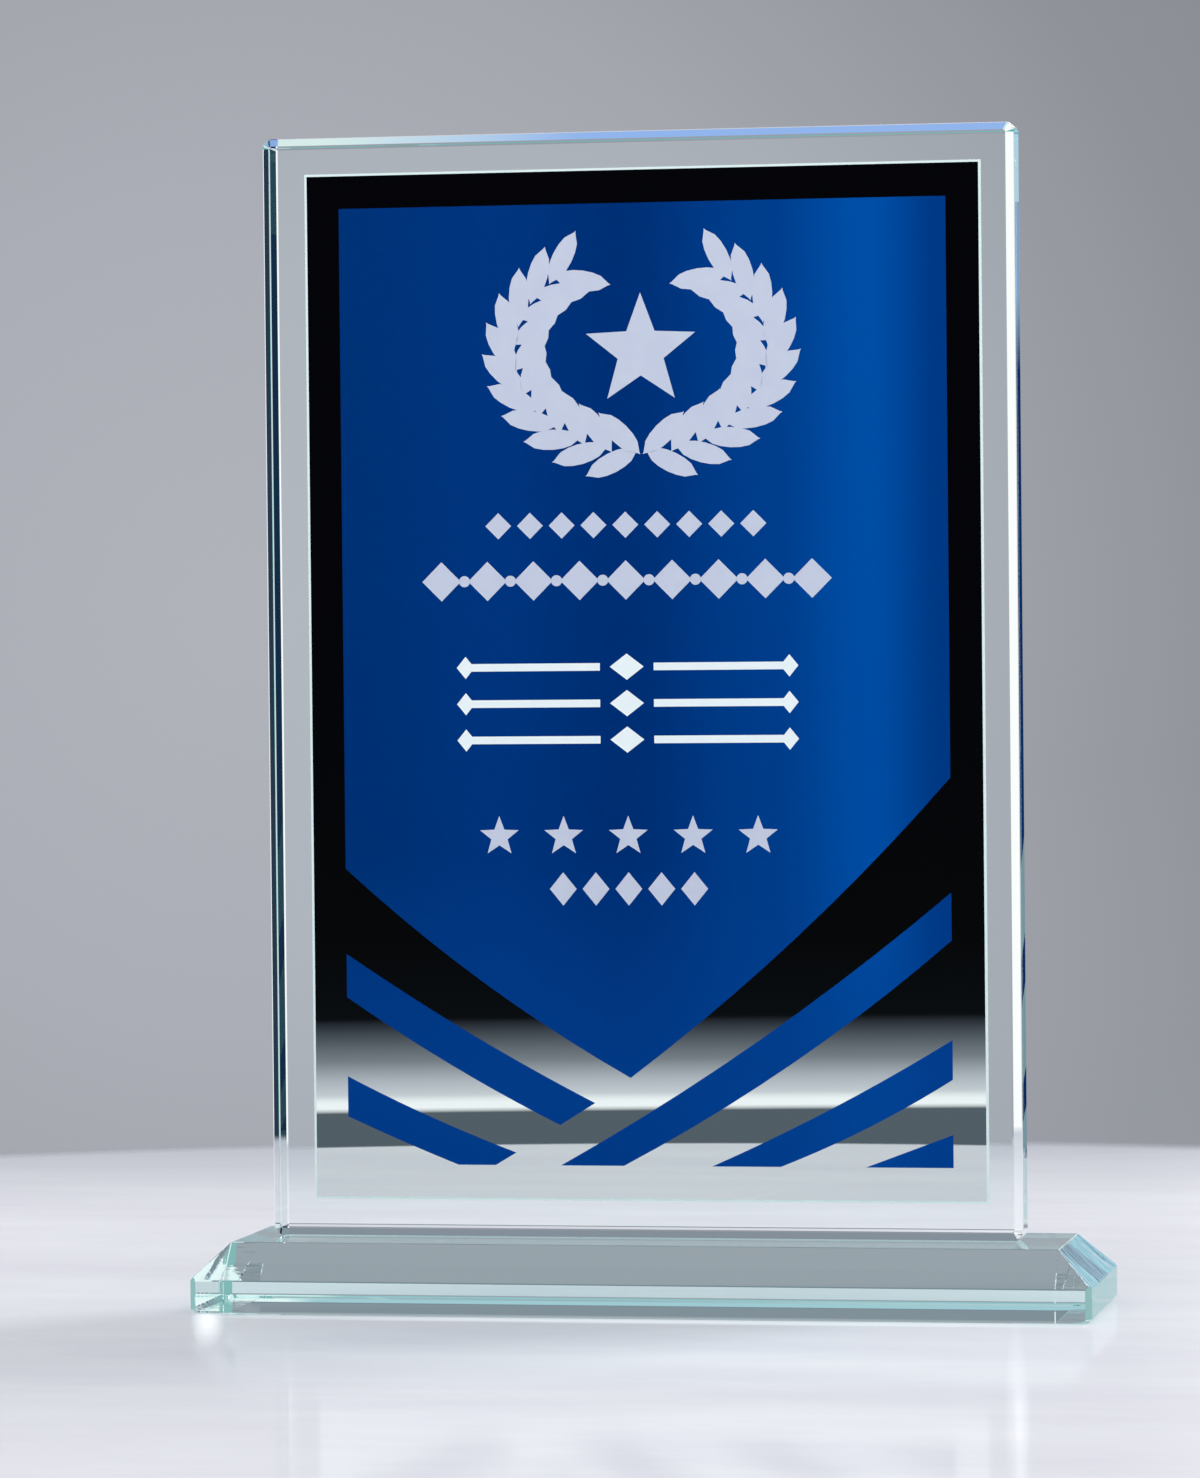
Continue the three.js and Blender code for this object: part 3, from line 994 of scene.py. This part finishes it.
def on_table(tree, offset, parts):
    """1 on the round table top and 0 past its edge, with a softer edge at the far side."""
    radius = node(tree, "ShaderNodeVectorMath", {0: offset}, operation="LENGTH")
    fade = node(tree, "ShaderNodeMapRange", {
        "Value": parts["Y"], "From Min": -FADE_REACH, "From Max": FADE_REACH,
        "To Min": FADE_FRONT, "To Max": FADE_BACK,
    })
    inner = node(tree, "ShaderNodeMath", {0: TABLE_RADIUS, 1: fade}, operation="SUBTRACT")
    outer = node(tree, "ShaderNodeMath", {0: TABLE_RADIUS, 1: fade}, operation="ADD")
    return node(tree, "ShaderNodeMapRange", {
        "Value": radius, "From Min": inner, "From Max": outer, "To Min": 1.0, "To Max": 0.0,
    })


def table_top():
    material, tree = new_material("pale_round_table")
    place = node(tree, "ShaderNodeTexCoord").outputs["Object"]
    offset = node(tree, "ShaderNodeVectorMath", {
        0: place, 1: (*TABLE_MIDDLE, 0),
    }, operation="SUBTRACT")
    parts = node(tree, "ShaderNodeSeparateXYZ", {"Vector": offset}).outputs
    paint = table_coat(tree, place, parts)
    sheen = node(tree, "ShaderNodeBsdfGlossy", {
        "Color": linear(SHEEN), "Roughness": SHEEN_ROUGHNESS,
    })
    coated = node(tree, "ShaderNodeMixShader", {0: SHEEN_STRENGTH, 1: paint, 2: sheen})
    top = node(tree, "ShaderNodeAddShader", {0: coated, 1: thrown_light(tree, place)})
    gone = node(tree, "ShaderNodeBsdfTransparent")
    surface = node(tree, "ShaderNodeMixShader", {
        0: on_table(tree, offset, parts), 1: gone, 2: top,
    })
    node(tree, "ShaderNodeOutputMaterial", {"Surface": surface})
    return material


deselect_all()
bpy.ops.mesh.primitive_plane_add(size=FLOOR_SIZE, location=(0, 0, -FLOOR_DROP))
floor = bpy.context.active_object
floor.name = "table_top"
bpy.ops.object.transform_apply(location=True, rotation=True, scale=True)
floor.data.materials.append(table_top())
print(floor.name, "laid")

# %% [markdown]
# ## The room
# A room could be built of walls and light boxes. Here it is a background that gives each
# direction its tone, because what the glass shows of a far room depends on direction alone.
# Directions are in degrees: turns to the right of straight back, and heights up from level. The
# camera itself sees a grey wall. It is palest a little to the left of the plate's middle, darkens
# away from there, and lightens a little again far out. Low down at the right the table throws
# some light back on it.

# %% Wall
GLOW_TURN = math.radians(-14.1)
WALL = (
    (0.0, "#B0B3BA"), (3.2, "#ACAFB7"), (5.5, "#A6A8B0"),
    (9.3, "#8E9198"), (12.0, "#868991"), (20.0, "#9A9DA5"),
)
THROWN_BACK = 0.16
THROWN_BACK_HEIGHTS = (-1.5, -5.5)
THROWN_BACK_TURNS = (-11, -6)


def grey_wall(tree, way, height, turn):
    """The wall by its distance from the palest spot, lifted low down at the right."""
    glow = Matrix.Rotation(-GLOW_TURN, 3, "Z") @ Vector((0, 1, 0))
    cosine = node(tree, "ShaderNodeVectorMath", {0: way, 1: tuple(glow)}, operation="DOT_PRODUCT")
    apart = node(tree, "ShaderNodeMath", {0: cosine}, operation="ARCCOSINE")
    share = node(tree, "ShaderNodeMath", {
        0: apart, 1: math.radians(WALL[-1][0]),
    }, operation="DIVIDE")
    wall = node(tree, "ShaderNodeValToRGB", {"Fac": share}, stops=spread(WALL))
    by_table = node(tree, "ShaderNodeMapRange", {
        "Value": height, "From Min": THROWN_BACK_HEIGHTS[0], "From Max": THROWN_BACK_HEIGHTS[1],
        "To Min": 0.0, "To Max": THROWN_BACK,
    })
    to_right = node(tree, "ShaderNodeMapRange", {
        "Value": turn, "From Min": THROWN_BACK_TURNS[0], "From Max": THROWN_BACK_TURNS[1],
    })
    lifted = node(tree, "ShaderNodeMath", {
        0: by_table, 1: to_right, 2: 1.0,
    }, operation="MULTIPLY_ADD")
    return node(tree, "ShaderNodeVectorMath", {0: wall, "Scale": lifted}, operation="SCALE")


print("wall set out over", WALL[-1][0], "degrees")

# %% [markdown]
# The rest of the room shows only by way of the glass, and it is what draws the glass. All round,
# where the last number is 1, stand white light boxes far to the left and right, a narrow white
# strip behind, and a dark blue cloth with a pale gap in it. Where it is 0 the wall goes on. Above
# lie bands of grey, and low down a pale green at the left and a blue at the right. A soft oval of
# sky blue hangs before the cloth.

# %% Room behind the glass
ROUND = (
    (-60, "#FFFFFF", 0), (-48, "#FFFFFF", 1), (-26, "#FFFFFF", 1), (-22, "#FFFFFF", 0),
    (-6, "#FFFFFF", 0), (-4.5, "#FFFFFF", 1), (1.0, "#FFFFFF", 1), (2.5, "#0C1C36", 1),
    (8.5, "#0C1C36", 1), (9.0, "#D6DEE4", 1), (14.0, "#D6DEE4", 1), (14.6, "#142C40", 1),
    (21, "#142C40", 1), (25, "#F4F9FB", 1), (60, "#F4F9FB", 1), (75, "#F4F9FB", 0),
)
ABOVE = (
    (4.4, "#93979F", 0), (5.0, "#93979F", 1), (5.7, "#93979F", 1), (5.9, "#A5A4AC", 1),
    (6.15, "#A5A4AC", 1), (6.27, "#8F939D", 1), (6.6, "#8F939D", 1), (7.5, "#A5A4AC", 1),
    (14.0, "#A5A4AC", 1), (17.0, "#868F9A", 1), (26.0, "#868F9A", 1), (30.0, "#A7A6AE", 1),
)
ABOVE_ALL_ROUND = (12, 14)
WALL_GAINS = (1.07, 1.19)
WALL_GAIN_TURNS = (-14, -7)
SKY = "#B4DCF6"
SKY_PLACE = (6.0, 5.0)
SKY_WIDE = 4.0
SKY_HIGH = 2.6
SKY_RIM = (1.15, 0.9)
LOW_LEFT = "#DCEEEC"
LOW_RIGHT = "#94B6EE"
LOW_TURNS = (-14.5, -12.0)
LOW_HEIGHTS = (-14, -18)


def sky_oval(tree, height, turn):
    """1 in the oval of sky blue, and 0 past its soft rim."""
    way = node(tree, "ShaderNodeCombineXYZ", {"X": turn, "Y": height, "Z": 0.0})
    off = node(tree, "ShaderNodeVectorMath", {0: way, 1: (*SKY_PLACE, 0)}, operation="SUBTRACT")
    squared = node(tree, "ShaderNodeVectorMath", {
        0: off, 1: (1 / SKY_WIDE, 1 / SKY_HIGH, 0),
    }, operation="MULTIPLY")
    out = node(tree, "ShaderNodeVectorMath", {0: squared}, operation="LENGTH")
    return node(tree, "ShaderNodeMapRange", {
        "Value": out, "From Min": SKY_RIM[0], "From Max": SKY_RIM[1],
    })


def room_all_round(tree, wall, upper, height, turn):
    """The wall with the grey bands above it, and the light boxes and cloths before both."""
    gain = node(tree, "ShaderNodeMapRange", {
        "Value": turn, "From Min": WALL_GAIN_TURNS[0], "From Max": WALL_GAIN_TURNS[1],
        "To Min": WALL_GAINS[0], "To Max": WALL_GAINS[1],
    })
    lit_wall = node(tree, "ShaderNodeVectorMath", {0: wall, "Scale": gain}, operation="SCALE")
    even = node(tree, "ShaderNodeMix", {
        "Factor": upper.outputs["Alpha"], "A": lit_wall, "B": upper.outputs["Color"],
    }, data_type="RGBA")
    share = node(tree, "ShaderNodeMapRange", {
        "Value": turn, "From Min": ROUND[0][0], "From Max": ROUND[-1][0],
    })
    boxes = node(tree, "ShaderNodeValToRGB", {"Fac": share}, stops=spread(ROUND))
    return node(tree, "ShaderNodeMix", {
        "Factor": boxes.outputs["Alpha"], "A": even, "B": boxes.outputs["Color"],
    }, data_type="RGBA")


def room_through_glass(tree, wall, height, turn):
    """The room as it shows by way of the glass."""
    up_share = node(tree, "ShaderNodeMapRange", {
        "Value": height, "From Min": ABOVE[0][0], "From Max": ABOVE[-1][0],
    })
    upper = node(tree, "ShaderNodeValToRGB", {"Fac": up_share}, stops=spread(ABOVE))
    level = room_all_round(tree, wall, upper, height, turn)
    with_sky = node(tree, "ShaderNodeMix", {
        "Factor": sky_oval(tree, height, turn), "A": level, "B": linear(SKY),
    }, data_type="RGBA")
    above = node(tree, "ShaderNodeMapRange", {
        "Value": height, "From Min": ABOVE_ALL_ROUND[0], "From Max": ABOVE_ALL_ROUND[1],
    })
    with_top = node(tree, "ShaderNodeMix", {
        "Factor": above, "A": with_sky, "B": upper,
    }, data_type="RGBA")
    to_right = node(tree, "ShaderNodeMapRange", {
        "Value": turn, "From Min": LOW_TURNS[0], "From Max": LOW_TURNS[1],
    })
    low = node(tree, "ShaderNodeMix", {
        "Factor": to_right, "A": linear(LOW_LEFT), "B": linear(LOW_RIGHT),
    }, data_type="RGBA")
    below = node(tree, "ShaderNodeMapRange", {
        "Value": height, "From Min": LOW_HEIGHTS[0], "From Max": LOW_HEIGHTS[1],
    })
    return node(tree, "ShaderNodeMix", {
        "Factor": below, "A": with_top, "B": low,
    }, data_type="RGBA")


print(len(ROUND), "tones all round and", len(ABOVE), "above")

# %% [markdown]
# In front lies a black studio, which is what one mirroring in the silver or in a facet shows. Low
# down it has a pale band that fades upwards, and below that a grey floor. It is listed by its
# height. After two mirrorings inside the glass the room is one bright blur.

# %% Studio in front
STUDIO = (
    (-6.0, "#565F68"), (-4.535, "#59626A"), (-4.515, "#FFFFFF"), (-4.445, "#FCFCFC"),
    (-4.38, "#CFD2D7"), (-4.26, "#B8BBC2"), (-4.08, "#7E838A"), (-3.90, "#565B63"),
    (-3.79, "#373C44"), (-3.70, "#0C0F12"), (-3.0, "#08090B"), (0.0, "#06060A"),
)
BRIGHT_BLUR = "#FFFFFF"


def dark_studio(tree, height):
    share = node(tree, "ShaderNodeMapRange", {
        "Value": height, "From Min": STUDIO[0][0], "From Max": STUDIO[-1][0],
    })
    return node(tree, "ShaderNodeValToRGB", {"Fac": share}, stops=spread(STUDIO))


print(len(STUDIO), "tones in front")

# %% [markdown]
# Dull surfaces, such as the inks and the table, are lit evenly: somewhat over plain white from
# the front, and less from behind. Where a mirroring lies on the ray's way the front gives less,
# since the studio there is dark. The background looks at each ray's kind to choose between the
# wall, the room by way of glass, the studio and this even light.

# %% Room
FRONT_LEVEL = 1.36
REAR_LEVEL = 0.62
MIRRORED_LEVEL = 0.72


def even_light(tree, forward, mirrored):
    """The level of the light on dull surfaces."""
    front_light = node(tree, "ShaderNodeMapRange", {
        "Value": mirrored, "To Min": FRONT_LEVEL, "To Max": MIRRORED_LEVEL,
    })
    return node(tree, "ShaderNodeMix", {
        "Factor": forward, "A": (REAR_LEVEL, REAR_LEVEL, REAR_LEVEL, 1), "B": front_light,
    }, data_type="RGBA")


def grey_room():
    world = bpy.data.worlds.new("grey_room")
    bpy.context.scene.world = world
    world.use_nodes = True
    tree = world.node_tree
    tree.nodes.clear()

    # The direction of the ray, as a height and a turn in degrees
    way = node(tree, "ShaderNodeTexCoord").outputs["Generated"]
    parts = node(tree, "ShaderNodeSeparateXYZ", {"Vector": way}).outputs
    rise = node(tree, "ShaderNodeMath", {0: parts["Z"]}, operation="ARCSINE")
    height = node(tree, "ShaderNodeMath", {0: rise}, operation="DEGREES")
    swing = node(tree, "ShaderNodeMath", {0: parts["X"], 1: parts["Y"]}, operation="ARCTAN2")
    turn = node(tree, "ShaderNodeMath", {0: swing}, operation="DEGREES")

    # The kind of the ray
    rays = node(tree, "ShaderNodeLightPath").outputs
    forward = node(tree, "ShaderNodeMath", {0: parts["Y"], 1: 0.0}, operation="LESS_THAN")
    bent = node(tree, "ShaderNodeMath", {
        0: rays["Transmission Depth"], 1: ONCE_OR_MORE,
    }, operation="GREATER_THAN")
    mirrored = node(tree, "ShaderNodeMath", {
        0: rays["Glossy Depth"], 1: ONCE_OR_MORE,
    }, operation="GREATER_THAN")
    many = node(tree, "ShaderNodeMath", {
        0: rays["Glossy Depth"], 1: TWICE_OR_MORE,
    }, operation="GREATER_THAN")
    once = node(tree, "ShaderNodeMath", {
        0: rays["Glossy Depth"], 1: 1.0, 2: HALF_A_COUNT,
    }, operation="COMPARE")
    scattered = node(tree, "ShaderNodeMath", {
        0: rays["Diffuse Depth"], 1: ONCE_OR_MORE,
    }, operation="GREATER_THAN")
    by_glass = node(tree, "ShaderNodeMath", {0: mirrored, 1: bent}, operation="MAXIMUM")
    dark = node(tree, "ShaderNodeMath", {0: forward, 1: once}, operation="MULTIPLY")

    # What each kind of ray meets
    wall = grey_wall(tree, way, height, turn)
    blurred = node(tree, "ShaderNodeMix", {
        "Factor": many, "A": room_through_glass(tree, wall, height, turn),
        "B": linear(BRIGHT_BLUR),
    }, data_type="RGBA")
    room = node(tree, "ShaderNodeMix", {
        "Factor": by_glass, "A": wall, "B": blurred,
    }, data_type="RGBA")
    seen = node(tree, "ShaderNodeMix", {
        "Factor": dark, "A": room, "B": dark_studio(tree, height),
    }, data_type="RGBA")
    colour = node(tree, "ShaderNodeMix", {
        "Factor": scattered, "A": seen, "B": even_light(tree, forward, mirrored),
    }, data_type="RGBA")
    background = node(tree, "ShaderNodeBackground", {"Color": colour, "Strength": 1.0})
    node(tree, "ShaderNodeOutputWorld", {"Surface": background})
    print(world.name, "made of", len(tree.nodes), "nodes")


grey_room()

# %% [markdown]
# ## The lamp
# One soft light box behind the award and to the right throws the soft shadow that falls to the
# front left on the table. Its level is such that a pale surface doesn't burn out. Places are in
# metres, as a light box stands well away from the award.

# %% Lamp
LAMP_PLACE = Vector((0.89, 0.89, 1.5))
LAMP_AIM = Vector((0, 0, 0.05))
LAMP_SIZE = 0.6
LAMP_WATTS = 12

lamp_data = bpy.data.lights.new("back_right", "AREA")
lamp_data.shape = "RECTANGLE"
lamp_data.size = LAMP_SIZE
lamp_data.size_y = LAMP_SIZE
lamp_data.energy = LAMP_WATTS
lamp = bpy.data.objects.new("back_right", lamp_data)
bpy.context.scene.collection.objects.link(lamp)
lamp.location = LAMP_PLACE
lamp.rotation_mode = "QUATERNION"
lamp.rotation_quaternion = (LAMP_AIM - LAMP_PLACE).to_track_quat("-Z", "Y")
print("lamp", round((LAMP_PLACE - LAMP_AIM).length, 2), "m away")

# %% [markdown]
# The standard view shows colours as written.

# %% Settings
scene = bpy.context.scene
scene.view_settings.view_transform = "Standard"
